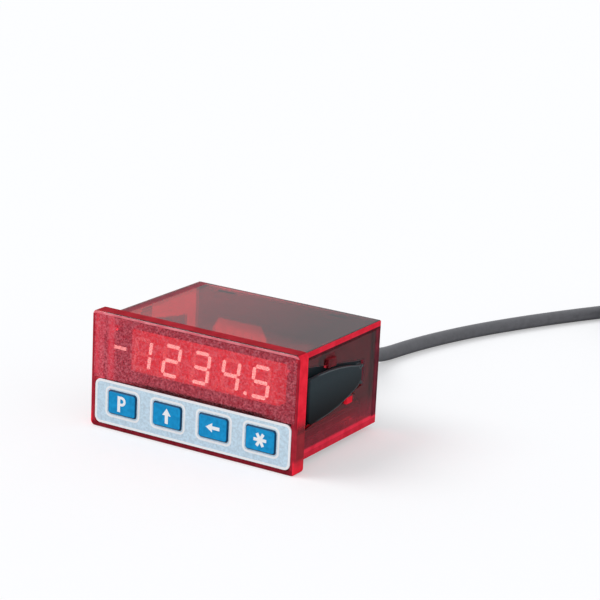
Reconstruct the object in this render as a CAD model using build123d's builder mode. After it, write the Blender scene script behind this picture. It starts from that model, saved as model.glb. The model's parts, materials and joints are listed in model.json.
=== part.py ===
from build123d import *
import os
from math import atan2, cos, degrees, pi, radians, sin, tan

# Digital panel meter for a standard rectangular cut-out, with its cable.
# Millimetres. +X is to the right as the meter is read, +Y runs into the panel and +Z is up.
# The origin is under the middle of the meter, level with the lower edge of its bezel.

os.makedirs("parts", exist_ok=True)

# Bezel and body of the red housing
bezel_width = 72.0
bezel_height = 36.0
bezel_depth = 4.7
bezel_corner = 1.5
bezel_edge = 0.6
total_depth = 51.7
body_width = 66.0
body_step = 1.7
body_corner = 0.5
wall = 2.0
front_wall = 2.5
inside_corner = 0.3

# Foils on the front
foil_recess = 0.3
foil_thickness = 0.25
foil_gap = 0.15
foil_width = 70.2
foil_label_gap = 0.4
foil_top_margin = 1.0
foil_corner = 0.5
label_width = 68.6
label_height = 13.7
label_bottom = 1.5
label_corner = 2.0

# Keys, their switches and their travel
key_count = 4
key_pitch = 16.2
key_width = 10.1
key_height = 7.2
key_middle = 7.3
key_corner = 1.0
key_bevel = 0.35
key_proud = 0.45
key_gap = 0.15
key_travel = 0.5
key_flange_rim = 0.7
key_flange_thickness = 0.7
key_flange_gap = 0.05
stem_radius = 1.8
plunger_radius = 1.6
plunger_gap = 0.05
plunger_out = 0.8
plunger_in = 1.3
plunger_end_gap = 0.2
switch_width = 6.0
switch_depth = 3.5
switch_edge = 0.4

# Display board and number modules
module_pitch = 10.25
module_width = 10.2
module_top_gap = 0.55
module_foil_edge = 3.65
module_depth = 6.1
module_gap = 0.1
module_edge = 0.2
modules_x = 2.85
digit_shift = -1.0
digit_drop = -0.4
digit_margin = 1.75
digit_width = 5.2
digit_lean = 6.5
segment_width = 1.15
segment_gap = 0.28
segment_nose = 0.32
segment_depth = 1.2
point_radius = 0.6
point_x = 5.2
point_rise = 0.2
minus_x = -27.5
minus_width = 4.5
minus_height = 1.05
minus_rim = 0.4
minus_depth = 5.2
board_thickness = 1.6
board_side_gap = 0.4
display_board_side_gap = 1.6
display_board_top_gap = 0.4
display_board_bottom_gap = 0.4

# Main board and its guide rails
main_board_under = 3.9
main_board_cover_gap = 6.5
board_to_board = 0.1
rail_reach = 1.2
rail_height = 0.8
rail_gap = 0.1

# Pieces on the main board: X from its middle, Y from its front edge or back from its rear edge
chip_x, chip_y = -8.0, 10.2
chip_width, chip_height = 10.0, 1.4
chip_bevel = 0.2
driver_x, driver_y = 11.0, 9.0
driver_width, driver_depth, driver_height = 15.4, 7.5, 2.4
driver_bevel = 0.5
regulator_x, regulator_from_rear = 21.5, 5.1
regulator_width, regulator_depth, regulator_height = 6.5, 6.1, 2.3
regulator_tab_width, regulator_tab_depth, regulator_tab_height = 5.2, 1.6, 0.5
coil_x, coil_y = 24.0, 8.5
coil_width, coil_height, coil_corner = 7.0, 4.0, 1.4
coil_core_radius, coil_core_dip = 2.6, 0.4
capacitor_x, capacitor_from_rear, capacitor_pitch = -19.5, 4.6, 8.6
capacitor_radius, capacitor_height = 3.15, 7.7
capacitor_base, capacitor_base_height, capacitor_base_corner = 6.6, 1.2, 1.2
capacitor_edge = 0.4
crystal_x, crystal_y = -21.0, 10.0
crystal_length, crystal_depth, crystal_height, crystal_edge = 11.4, 4.7, 3.6, 0.5
pin_pitch = 2.54
pin_width = 0.64
header_pins = 10
header_x = 4.0
header_depth, header_height = 2.5, 2.5
pin_rise = 1.2
outlet_x, outlet_z = 3.0, 11.3
outlet_pins = 5
outlet_pitch = 2.5
outlet_end, outlet_depth, outlet_height, outlet_wall = 1.2, 6.0, 7.0, 0.8
outlet_back = 1.2
wire_radius = 0.55
wire_bunch_shares = (-0.36, -0.18, 0.0, 0.18, 0.36)
wire_straight = 1.3

# Rear cover, its screws and the closed terminal slot
cover_thickness = 2.4
cover_recess = 0.3
cover_gap = 0.05
cover_corner = 0.25
boss_x = 25.6
boss_z = 5.3
boss_radius = 2.5
boss_length = 5.3
screw_radius = 0.9
screw_gap = 0.05
screw_head_radius, screw_head_height = 1.9, 1.2
screw_head_gap = 0.15
screw_drive_width, screw_drive_depth = 0.5, 0.6
screw_length = 6.5
nub_x, nub_width, nub_height, nub_depth, nub_gap = 20.0, 6.0, 0.3, 0.8, 0.05
stop_width, stop_height = 6.0, 1.2
slot_left, slot_right = -25.2, -5.2
slot_bottom, slot_top = 9.3, 21.75
slot_cut_width, slot_cut_height = 2.0, 3.5
blank_gap = 0.05
blank_flange, blank_flange_thickness = 0.8, 0.8
blank_ribs, blank_rib_width, blank_rib_height = 5, 0.8, 0.25

# Spring clips in the sides of the body
clip_rise = 2.3
pocket_depth = 1.3
pocket_front, pocket_from_rear = 6.7, 9.6
pocket_front_half, pocket_rear_half = 9.9, 3.9
pocket_front_corner, pocket_rear_corner = 0.8, 2.4
clip_plate = 0.5
clip_gap = 0.05
pivot_from_pocket = 1.9
pivot_x = 33.0
barrel_radius = 0.7
trunnion_radius = 0.35
trunnion_gap = 0.05
ear_radius, ear_height, ear_gap = 0.95, 0.7, 0.08
leaf_front = 6.9
leaf_front_half, leaf_middle_half, leaf_root_half, barrel_half = 6.9, 6.1, 3.1, 2.2
leaf_front_out, leaf_middle_out, leaf_rear_out = 2.5, 1.85, 0.7
leaf_thickness = 1.1
leaf_corner = 2.2
leaf_tip = 0.35
leaf_root, leaf_neck = 1.7, 0.5
upper_lug_front, lower_lug_front = 20.0, 31.9
lug_length, lug_height, lug_overlap = 4.6, 2.6, 0.5
lug_proud = 0.8

# Cable, strain relief and the coil it is put away in
cable_radius = 2.35
relief_flange_radius, relief_flange_thickness = 4.5, 1.0
relief_neck_radius, relief_neck_gap = 3.4, 0.05
relief_collar_radius, relief_collar_depth = 4.6, 2.0
relief_root_radius, relief_tip_radius, relief_length = 3.9, 2.9, 14.3
relief_groove_count, relief_groove_width, relief_groove_depth = 4, 1.1, 0.5
relief_groove_start, relief_groove_pitch = 2.55, 2.2
coil_turn_radius = 30.0
coil_pitch = 4.75
coil_layer_turns = 2.5
coil_climb_turns = 0.45
entry_stub = 18.0
exit_stub = 22.0
coil_skin = 0.15
coil_round = 1.2
floor_gap = 0.05

# Round connector at the far end of the cable
grip_radius, grip_root_radius, grip_length = 6.0, 3.6, 24.0
grip_taper = 7.0
grip_ring_count, grip_ring_width, grip_ring_depth, grip_ring_pitch = 5, 1.2, 0.5, 2.6
collar_radius, collar_lip, collar_lip_length = 4.2, 0.6, 0.8
nut_radius, nut_length = 7.0, 9.0
nut_flutes, nut_flute_radius, nut_flute_depth = 16, 0.7, 0.35
nut_edge = 0.5
nut_gap = 0.05
nut_end_gap = 0.1
thread_radius, thread_length, thread_bore = 6.0, 6.5, 4.9
thread_edge = 0.4
insert_radius, insert_length = 4.0, 2.4
contact_radius, contact_length, contact_circle = 0.5, 3.2, 2.3
contact_count = 4
contact_end_bevel = 0.15
coding_width, coding_height = 1.0, 0.5

# One overrun serves all cuts
overrun = 1.0

# Levels along Y and Z that several pieces share
front_y = (key_proud - total_depth) / 2
foil_floor_y = front_y + foil_recess
bezel_back_y = front_y + bezel_depth
inside_front_y = front_y + front_wall
rear_y = front_y + total_depth
module_face_y = inside_front_y + module_gap
display_board_y = module_face_y + module_depth
display_board_back_y = display_board_y + board_thickness
main_board_y = display_board_back_y + board_to_board
cover_back_y = rear_y - cover_recess
cover_front_y = cover_back_y - cover_thickness
main_board_rear_y = cover_front_y - main_board_cover_gap
main_board_length = main_board_rear_y - main_board_y
body_side = body_width / 2
body_height = bezel_height - 2 * body_step
body_bottom = body_step
body_middle_z = bezel_height / 2
inside_width = body_width - 2 * wall
inside_height = body_height - 2 * wall
inside_side = inside_width / 2
inside_bottom = body_bottom + wall
inside_top = inside_bottom + inside_height
main_board_z = inside_bottom + main_board_under
main_board_top = main_board_z + board_thickness
label_top = label_bottom + label_height
foil_bottom = label_top + foil_label_gap
foil_height = bezel_height - foil_top_margin - foil_bottom
module_bottom = foil_bottom + module_foil_edge
module_height = inside_top - module_top_gap - module_bottom
modules_z = module_bottom + module_height / 2
digits_z = modules_z + digit_drop
digit_height = module_height - 2 * digit_margin
clip_z = body_middle_z + clip_rise
key_z = label_bottom + key_middle
key_places = [(index - (key_count - 1) / 2) * key_pitch for index in range(key_count)]
key_names = ["p", "up", "left", "star"]
switch_face_y = display_board_y - switch_depth
stem_end_y = switch_face_y - plunger_out
flange_front_y = inside_front_y + key_flange_gap
flange_back_y = flange_front_y + key_flange_thickness


def across(y):
    """Plane across the meter at depth y: x to the right, z up, normal to the front."""
    return Plane.XZ.offset(-y)


pieces = {}


def keep(name, piece):
    """Label a finished piece and put it with those to write."""
    piece.part.label = name
    pieces[name] = piece.part


# Outline of the clip pocket, seen from the side
pocket_front_y = front_y + pocket_front
pocket_rear_y = rear_y - pocket_from_rear
pocket_outline = [
    (pocket_front_y, clip_z - pocket_front_half),
    (pocket_rear_y, clip_z - pocket_rear_half),
    (pocket_rear_y, clip_z + pocket_rear_half),
    (pocket_front_y, clip_z + pocket_front_half),
]
pocket_slope = (pocket_front_half - pocket_rear_half) / (pocket_rear_y - pocket_front_y)
pocket_floor_x = body_side - pocket_depth
plate_face_x = pocket_floor_x + clip_plate
lug_thickness = pocket_depth - clip_plate - clip_gap + lug_proud
lug_places = []
for lug_front, up in ((upper_lug_front, 1), (lower_lug_front, -1)):
    lug_y = front_y + lug_front + lug_length / 2
    lug_edge = pocket_front_half - pocket_slope * (lug_y - pocket_front_y)
    lug_places.append((lug_y, clip_z + up * (lug_edge - lug_overlap + lug_height / 2)))


# Red housing: bezel and body in one moulding, open at the rear
with BuildPart() as housing:
    with BuildSketch(across(bezel_back_y)):
        with Locations((0, bezel_height / 2)):
            RectangleRounded(bezel_width, bezel_height, bezel_corner)
    extrude(amount=bezel_depth)
    fillet(housing.faces().sort_by(Axis.Y)[0].edges(), bezel_edge)
    with BuildSketch(across(bezel_back_y)):
        with Locations((0, body_middle_z)):
            RectangleRounded(body_width, body_height, body_corner)
    extrude(amount=bezel_back_y - rear_y)
    with BuildSketch(across(rear_y)):
        with Locations((0, body_middle_z)):
            RectangleRounded(inside_width, inside_height, inside_corner)
    extrude(amount=rear_y - inside_front_y, mode=Mode.SUBTRACT)
    # Shallow recesses for the two foils
    with BuildSketch(across(front_y)):
        with Locations((0, bezel_height - foil_top_margin - foil_height / 2)):
            RectangleRounded(foil_width + 2 * foil_gap, foil_height + 2 * foil_gap, foil_corner)
        with Locations((0, label_bottom + label_height / 2)):
            RectangleRounded(label_width + 2 * foil_gap, label_height + 2 * foil_gap, label_corner)
    extrude(amount=-foil_recess, mode=Mode.SUBTRACT)
    # Openings for the keys
    with BuildSketch(across(front_y)):
        with Locations(*[(x, key_z) for x in key_places]):
            RectangleRounded(key_width + 2 * key_gap, key_height + 2 * key_gap, key_corner)
    extrude(amount=-(front_wall + overrun), mode=Mode.SUBTRACT)
    # Pockets for the side clips, with lugs that hold the clip plates
    for side in (1, -1):
        with BuildSketch(Plane.YZ.offset(side * body_side)):
            with BuildLine():
                Polyline(*pocket_outline, close=True)
            make_face()
            fillet(vertices().group_by(Axis.Y)[0], pocket_front_corner)
            fillet(vertices().group_by(Axis.Y)[-1], pocket_rear_corner)
        extrude(amount=-side * pocket_depth, mode=Mode.SUBTRACT)
        with BuildSketch(Plane.YZ.offset(side * (body_side + lug_proud))):
            with Locations(*lug_places):
                Rectangle(lug_length, lug_height)
        extrude(amount=-side * lug_thickness)
    # Guide rails for the main board
    with BuildSketch(across(main_board_y + board_to_board)):
        for side in (1, -1):
            with Locations(
                (side * (inside_side - rail_reach / 2), main_board_z - rail_height / 2),
                (side * (inside_side - rail_reach / 2), main_board_top + rail_gap + rail_height / 2),
            ):
                Rectangle(rail_reach, rail_height)
    extrude(amount=-(main_board_length - board_to_board))
    # Screw bosses on the floor and stops on the ceiling for the rear cover
    with BuildSketch(across(cover_front_y)):
        for side in (1, -1):
            with Locations((side * boss_x, boss_z + body_bottom)):
                Circle(boss_radius)
            with Locations((side * boss_x, (boss_z + body_bottom + inside_bottom) / 2)):
                Rectangle(2 * boss_radius, boss_z + body_bottom - inside_bottom)
            with Locations((side * nub_x, inside_top - stop_height / 2)):
                Rectangle(stop_width, stop_height)
    extrude(amount=boss_length)
    with BuildSketch(across(cover_front_y)):
        with Locations((boss_x, boss_z + body_bottom), (-boss_x, boss_z + body_bottom)):
            Circle(screw_radius + screw_gap)
    extrude(amount=boss_length, mode=Mode.SUBTRACT)
    # Grooves in the ceiling that the nubs of the cover click into
    with BuildSketch(across((cover_front_y + cover_back_y) / 2 + nub_depth / 2 + nub_gap)):
        with Locations(*[(side * nub_x, inside_top + nub_height / 2) for side in (1, -1)]):
            Rectangle(nub_width + 2 * nub_gap, nub_height)
    extrude(amount=nub_depth + 2 * nub_gap, mode=Mode.SUBTRACT)
keep("housing", housing)

# Frosted foil over the display
with BuildPart() as front_foil:
    with BuildSketch(across(foil_floor_y)):
        with Locations((0, bezel_height - foil_top_margin - foil_height / 2)):
            RectangleRounded(foil_width, foil_height, foil_corner)
    extrude(amount=foil_thickness)
keep("front_foil", front_foil)

# Silver label with a window around each key
with BuildPart() as keypad_label:
    with BuildSketch(across(foil_floor_y)):
        with Locations((0, label_bottom + label_height / 2)):
            RectangleRounded(label_width, label_height, label_corner)
        with Locations(*[(x, key_z) for x in key_places]):
            RectangleRounded(
                key_width + 2 * key_gap, key_height + 2 * key_gap, key_corner, mode=Mode.SUBTRACT
            )
    extrude(amount=foil_thickness)
keep("keypad_label", keypad_label)

# Keys with a flange behind the front wall, switch plungers and switch bodies
for key_name, key_x in zip(key_names, key_places):
    with BuildPart() as key_cap:
        with BuildSketch(across(flange_front_y)):
            with Locations((key_x, key_z)):
                RectangleRounded(key_width, key_height, key_corner)
        extrude(amount=flange_front_y - front_y + key_proud)
        chamfer(key_cap.faces().sort_by(Axis.Y)[0].edges(), key_bevel)
        with BuildSketch(across(flange_back_y)):
            with Locations((key_x, key_z)):
                RectangleRounded(
                    key_width + 2 * key_flange_rim, key_height + 2 * key_flange_rim, key_corner
                )
        extrude(amount=key_flange_thickness)
        with BuildSketch(across(stem_end_y)):
            with Locations((key_x, key_z)):
                Circle(stem_radius)
        extrude(amount=stem_end_y - flange_back_y)
    keep("key_cap_" + key_name, key_cap)

    with BuildPart() as switch_plunger:
        with BuildSketch(across(switch_face_y + plunger_in)):
            with Locations((key_x, key_z)):
                Circle(plunger_radius)
        extrude(amount=plunger_in + plunger_out)
    keep("switch_plunger_" + key_name, switch_plunger)

    with BuildPart() as switch_body:
        with BuildSketch(across(display_board_y)):
            with Locations((key_x, key_z)):
                Rectangle(switch_width, switch_width)
        extrude(amount=switch_depth)
        chamfer(switch_body.edges().filter_by(Axis.Y), switch_edge)
        with BuildSketch(across(switch_face_y)):
            with Locations((key_x, key_z)):
                Circle(plunger_radius + plunger_gap)
        extrude(amount=-(plunger_in + key_travel + plunger_end_gap), mode=Mode.SUBTRACT)
    keep("switch_body_" + key_name, switch_body)

# Display board
with BuildPart() as display_board:
    display_board_bottom = inside_bottom + display_board_bottom_gap
    display_board_top = inside_top - display_board_top_gap
    with BuildSketch(across(display_board_back_y)):
        with Locations((0, (display_board_bottom + display_board_top) / 2)):
            Rectangle(
                inside_width - 2 * display_board_side_gap, display_board_top - display_board_bottom
            )
    extrude(amount=board_thickness)
keep("display_board", display_board)

# Strokes of a seven-segment numeral: each runs between two corners of the numeral
half_width = digit_width / 2
half_height = digit_height / 2
strokes = {
    "a": ((-half_width, half_height), (half_width, half_height)),
    "b": ((half_width, half_height), (half_width, 0)),
    "c": ((half_width, 0), (half_width, -half_height)),
    "d": ((-half_width, -half_height), (half_width, -half_height)),
    "e": ((-half_width, 0), (-half_width, -half_height)),
    "f": ((-half_width, half_height), (-half_width, 0)),
    "g": ((-half_width, 0), (half_width, 0)),
}
lit_strokes = ["bc", "abged", "abgcd", "fgbc", "afgcd"]
point_digit = 3


def stroke_outline(start, end):
    """Six corners of one stroke, pointed at both ends and leaning with the numeral."""
    along = (Vector(*end) - Vector(*start)).normalized()
    side = Vector(-along.Y, along.X) * (segment_width / 2)
    nose = along * segment_nose
    first = Vector(*start) + along * segment_gap
    last = Vector(*end) - along * segment_gap
    corners = [first, first + nose + side, last - nose + side, last, last - nose - side, first + nose - side]
    return [(corner.X + corner.Y * tan(radians(digit_lean)), corner.Y) for corner in corners]


def draw_strokes(letters, digit_x, digit_z, with_point):
    """Draw the named strokes, and the decimal point if asked, in the open sketch."""
    for letter in letters:
        corners = [(digit_x + x, digit_z + z) for x, z in stroke_outline(*strokes[letter])]
        Polygon(*corners, align=None)
    if with_point:
        with Locations((digit_x + point_x, digit_z - half_height + point_rise)):
            Circle(point_radius)


# Five number modules: a pale body, its lit strokes and its dark strokes
for index, lit in enumerate(lit_strokes):
    module_x = modules_x + (index - (len(lit_strokes) - 1) / 2) * module_pitch
    digit_x = module_x + digit_shift
    dark = "".join(letter for letter in strokes if letter not in lit)
    point_lit = index == point_digit
    number = str(index + 1)

    with BuildPart() as digit_module:
        with BuildSketch(across(display_board_y)):
            with Locations((module_x, modules_z)):
                Rectangle(module_width, module_height)
        extrude(amount=module_depth)
        chamfer(digit_module.faces().sort_by(Axis.Y)[0].edges(), module_edge)
        with BuildSketch(across(module_face_y)):
            draw_strokes(strokes, digit_x, digits_z, True)
        extrude(amount=-segment_depth, mode=Mode.SUBTRACT)
    keep("digit_module_" + number, digit_module)

    with BuildPart() as lit_segments:
        with BuildSketch(across(module_face_y)):
            draw_strokes(lit, digit_x, digits_z, point_lit)
        extrude(amount=-segment_depth)
    keep("lit_segments_" + number, lit_segments)

    with BuildPart() as dark_segments:
        with BuildSketch(across(module_face_y)):
            draw_strokes(dark, digit_x, digits_z, not point_lit)
        extrude(amount=-segment_depth)
    keep("dark_segments_" + number, dark_segments)

# Bar lamp for the minus sign, in its holder on the display board
with BuildPart() as minus_holder:
    with BuildSketch(across(display_board_y)):
        with Locations((minus_x, digits_z)):
            Rectangle(minus_width + 2 * minus_rim, minus_height + 2 * minus_rim)
    extrude(amount=minus_depth)
    with BuildSketch(across(display_board_y - minus_depth)):
        with Locations((minus_x, digits_z)):
            Rectangle(minus_width, minus_height)
    extrude(amount=-segment_depth, mode=Mode.SUBTRACT)
keep("minus_holder", minus_holder)

with BuildPart() as minus_lamp:
    with BuildSketch(across(display_board_y - minus_depth + segment_depth)):
        with Locations((minus_x, digits_z)):
            Rectangle(minus_width, minus_height)
    extrude(amount=segment_depth)
keep("minus_lamp", minus_lamp)

# Main board
with BuildPart() as main_board:
    with BuildSketch(Plane.XY.offset(main_board_z)):
        with Locations((0, main_board_y + main_board_length / 2)):
            Rectangle(inside_width - 2 * board_side_gap, main_board_length)
    extrude(amount=board_thickness)
keep("main_board", main_board)

# Row of pins that joins the two boards
with BuildPart() as board_header:
    header_length = header_pins * pin_pitch
    header_middle_y = main_board_y + pin_rise + header_depth / 2
    with BuildSketch(Plane.XY.offset(main_board_top)):
        with Locations((header_x, header_middle_y)):
            Rectangle(header_length, header_depth)
    extrude(amount=header_height)
    with BuildSketch(across(header_middle_y)):
        with Locations((header_x, main_board_top + header_height / 2)):
            with GridLocations(pin_pitch, pin_pitch, header_pins, 1):
                Rectangle(pin_width, pin_width)
    extrude(amount=header_middle_y - display_board_back_y)
keep("board_header", board_header)

# Processor
with BuildPart() as microcontroller:
    with BuildSketch(Plane.XY.offset(main_board_top)):
        with Locations((chip_x, main_board_y + chip_y)):
            Rectangle(chip_width, chip_width)
    extrude(amount=chip_height)
    chamfer(microcontroller.faces().sort_by(Axis.Z)[-1].edges(), chip_bevel)
keep("microcontroller", microcontroller)

# Driver of the display
with BuildPart() as display_driver:
    with BuildSketch(Plane.XY.offset(main_board_top)):
        with Locations((driver_x, main_board_y + driver_y)):
            Rectangle(driver_width, driver_depth)
    extrude(amount=driver_height)
    chamfer(display_driver.faces().sort_by(Axis.Z)[-1].edges(), driver_bevel)
keep("display_driver", display_driver)

# Voltage regulator with its tab
regulator_y = main_board_rear_y - regulator_from_rear
with BuildPart() as regulator:
    with BuildSketch(Plane.XY.offset(main_board_top)):
        with Locations((regulator_x, regulator_y)):
            Rectangle(regulator_width, regulator_depth)
    extrude(amount=regulator_height)
    with BuildSketch(Plane.XY.offset(main_board_top)):
        regulator_tab_y = regulator_y + (regulator_depth + regulator_tab_depth) / 2
        with Locations((regulator_x, regulator_tab_y)):
            Rectangle(regulator_tab_width, regulator_tab_depth)
    extrude(amount=regulator_tab_height)
keep("regulator", regulator)

# Storage coil of the supply
with BuildPart() as supply_coil:
    with BuildSketch(Plane.XY.offset(main_board_top)):
        with Locations((coil_x, main_board_y + coil_y)):
            RectangleRounded(coil_width, coil_width, coil_corner)
    extrude(amount=coil_height)
    with BuildSketch(Plane.XY.offset(main_board_top + coil_height)):
        with Locations((coil_x, main_board_y + coil_y)):
            Circle(coil_core_radius)
    extrude(amount=-coil_core_dip, mode=Mode.SUBTRACT)
keep("supply_coil", supply_coil)

# Two can capacitors on their square bases
with BuildPart() as capacitors:
    capacitor_y = main_board_rear_y - capacitor_from_rear
    can_places = [(capacitor_x, capacitor_y), (capacitor_x + capacitor_pitch, capacitor_y)]
    with BuildSketch(Plane.XY.offset(main_board_top)):
        with Locations(*can_places):
            RectangleRounded(capacitor_base, capacitor_base, capacitor_base_corner)
    extrude(amount=capacitor_base_height)
    with BuildSketch(Plane.XY.offset(main_board_top + capacitor_base_height)):
        with Locations(*can_places):
            Circle(capacitor_radius)
    extrude(amount=capacitor_height - capacitor_base_height)
    fillet(capacitors.faces().group_by(Axis.Z)[-1].edges(), capacitor_edge)
keep("capacitors", capacitors)

# Clock crystal in its can
with BuildPart() as crystal:
    with BuildSketch(Plane.XY.offset(main_board_top)):
        with Locations((crystal_x, main_board_y + crystal_y)):
            SlotOverall(crystal_length, crystal_depth)
    extrude(amount=crystal_height)
    fillet(crystal.faces().sort_by(Axis.Z)[-1].edges(), crystal_edge)
keep("crystal", crystal)

# Socket for the cable wires at the rear of the main board
outlet_length = (outlet_pins - 1) * outlet_pitch + 2 * outlet_end
outlet_back_y = main_board_rear_y - outlet_back
outlet_middle_z = main_board_top + outlet_height / 2
with BuildPart() as cable_socket:
    with BuildSketch(Plane.XY.offset(main_board_top)):
        with Locations((outlet_x, outlet_back_y - outlet_depth / 2)):
            Rectangle(outlet_length, outlet_depth)
    extrude(amount=outlet_height)
    with BuildSketch(across(outlet_back_y)):
        with Locations((outlet_x, outlet_middle_z)):
            with GridLocations(outlet_pitch, outlet_pitch, outlet_pins, 1):
                Rectangle(outlet_pitch - outlet_wall, outlet_height - 2 * outlet_wall)
    extrude(amount=outlet_wall, mode=Mode.SUBTRACT)
keep("cable_socket", cable_socket)

# Rear cover: a plate in the open end, with a terminal slot and a hole for the cable
cable_z = outlet_z + body_bottom
with BuildPart() as rear_cover:
    with BuildSketch(across(cover_back_y)):
        with Locations((0, body_middle_z)):
            RectangleRounded(inside_width - 2 * cover_gap, inside_height - 2 * cover_gap, cover_corner)
    extrude(amount=cover_thickness)
    with BuildSketch(across(cover_back_y)):
        with BuildLine():
            Polyline(
                (slot_left, slot_bottom + body_bottom),
                (slot_right, slot_bottom + body_bottom),
                (slot_right, slot_top + body_bottom - slot_cut_height),
                (slot_right - slot_cut_width, slot_top + body_bottom),
                (slot_left + slot_cut_width, slot_top + body_bottom),
                (slot_left, slot_top + body_bottom - slot_cut_height),
                close=True,
            )
        make_face()
        with Locations((outlet_x, cable_z)):
            Circle(relief_neck_radius + relief_neck_gap)
        with Locations((boss_x, boss_z + body_bottom), (-boss_x, boss_z + body_bottom)):
            Circle(screw_radius + screw_gap)
    extrude(amount=cover_thickness, mode=Mode.SUBTRACT)
    with BuildSketch(across(cover_back_y)):
        with Locations((boss_x, boss_z + body_bottom), (-boss_x, boss_z + body_bottom)):
            Circle(screw_head_radius + screw_head_gap)
    extrude(amount=screw_head_height, mode=Mode.SUBTRACT)
    with BuildSketch(across((cover_front_y + cover_back_y) / 2 + nub_depth / 2)):
        nub_base_z = inside_top - cover_gap
        with Locations(*[(side * nub_x, nub_base_z + (nub_height - nub_gap) / 2) for side in (1, -1)]):
            Rectangle(nub_width, nub_height - nub_gap)
    extrude(amount=nub_depth)
keep("rear_cover", rear_cover)

# Red blank that closes the terminal slot, with a flange on the inside
with BuildPart() as slot_blank:
    with BuildSketch(across(cover_back_y)):
        with BuildLine():
            Polyline(
                (slot_left + blank_gap, slot_bottom + body_bottom + blank_gap),
                (slot_right - blank_gap, slot_bottom + body_bottom + blank_gap),
                (slot_right - blank_gap, slot_top + body_bottom - slot_cut_height - blank_gap),
                (slot_right - slot_cut_width - blank_gap, slot_top + body_bottom - blank_gap),
                (slot_left + slot_cut_width + blank_gap, slot_top + body_bottom - blank_gap),
                (slot_left + blank_gap, slot_top + body_bottom - slot_cut_height - blank_gap),
                close=True,
            )
        make_face()
    extrude(amount=cover_thickness)
    with BuildSketch(across(cover_front_y)):
        with Locations(((slot_left + slot_right) / 2, (slot_bottom + slot_top) / 2 + body_bottom)):
            Rectangle(
                slot_right - slot_left + 2 * blank_flange, slot_top - slot_bottom + 2 * blank_flange
            )
    extrude(amount=blank_flange_thickness)
    with BuildSketch(across(cover_back_y + blank_rib_height)):
        with Locations(((slot_left + slot_right) / 2, (slot_bottom + slot_top) / 2 + body_bottom)):
            with GridLocations((slot_right - slot_left) / (blank_ribs + 1), slot_top, blank_ribs, 1):
                Rectangle(blank_rib_width, (slot_top - slot_bottom) / 2)
    extrude(amount=blank_rib_height)
keep("slot_blank", slot_blank)

# Two screws that hold the rear cover
with BuildPart() as cover_screws:
    screw_places = [(boss_x, boss_z + body_bottom), (-boss_x, boss_z + body_bottom)]
    screw_seat_y = cover_back_y - screw_head_height
    with BuildSketch(across(cover_back_y)):
        with Locations(*screw_places):
            Circle(screw_head_radius)
    extrude(amount=screw_head_height)
    with BuildSketch(across(screw_seat_y)):
        with Locations(*screw_places):
            Circle(screw_radius)
    extrude(amount=screw_length)
    with BuildSketch(across(cover_back_y)):
        with Locations(*screw_places):
            Rectangle(2 * screw_head_radius - screw_head_height, screw_drive_width)
            Rectangle(screw_drive_width, 2 * screw_head_radius - screw_head_height)
    extrude(amount=screw_drive_depth, mode=Mode.SUBTRACT)
keep("cover_screws", cover_screws)

# Clip plates and clip leaves for the right side, mirrored to the left
pivot_y = pocket_rear_y - pivot_from_pocket
ear_inner = barrel_half + ear_gap
ear_outer = ear_inner + ear_height
with BuildPart() as clip_plate_right:
    with BuildSketch(Plane.YZ.offset(pocket_floor_x)):
        with BuildLine():
            Polyline(*pocket_outline, close=True)
        make_face()
        fillet(vertices().group_by(Axis.Y)[0], pocket_front_corner)
        fillet(vertices().group_by(Axis.Y)[-1], pocket_rear_corner)
        offset(amount=-clip_gap, mode=Mode.REPLACE)
    extrude(amount=clip_plate)
    for low, high in ((ear_inner, ear_outer), (-ear_outer, -ear_inner)):
        with BuildSketch(Plane.XY.offset(clip_z + low)):
            with Locations((pivot_x, pivot_y)):
                Circle(ear_radius)
            with Locations(((plate_face_x + pivot_x) / 2, pivot_y)):
                Rectangle(pivot_x - plate_face_x, 2 * ear_radius)
            with Locations((pivot_x, pivot_y)):
                Circle(trunnion_radius + trunnion_gap, mode=Mode.SUBTRACT)
        extrude(amount=high - low)
keep("clip_plate_right", clip_plate_right)

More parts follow.
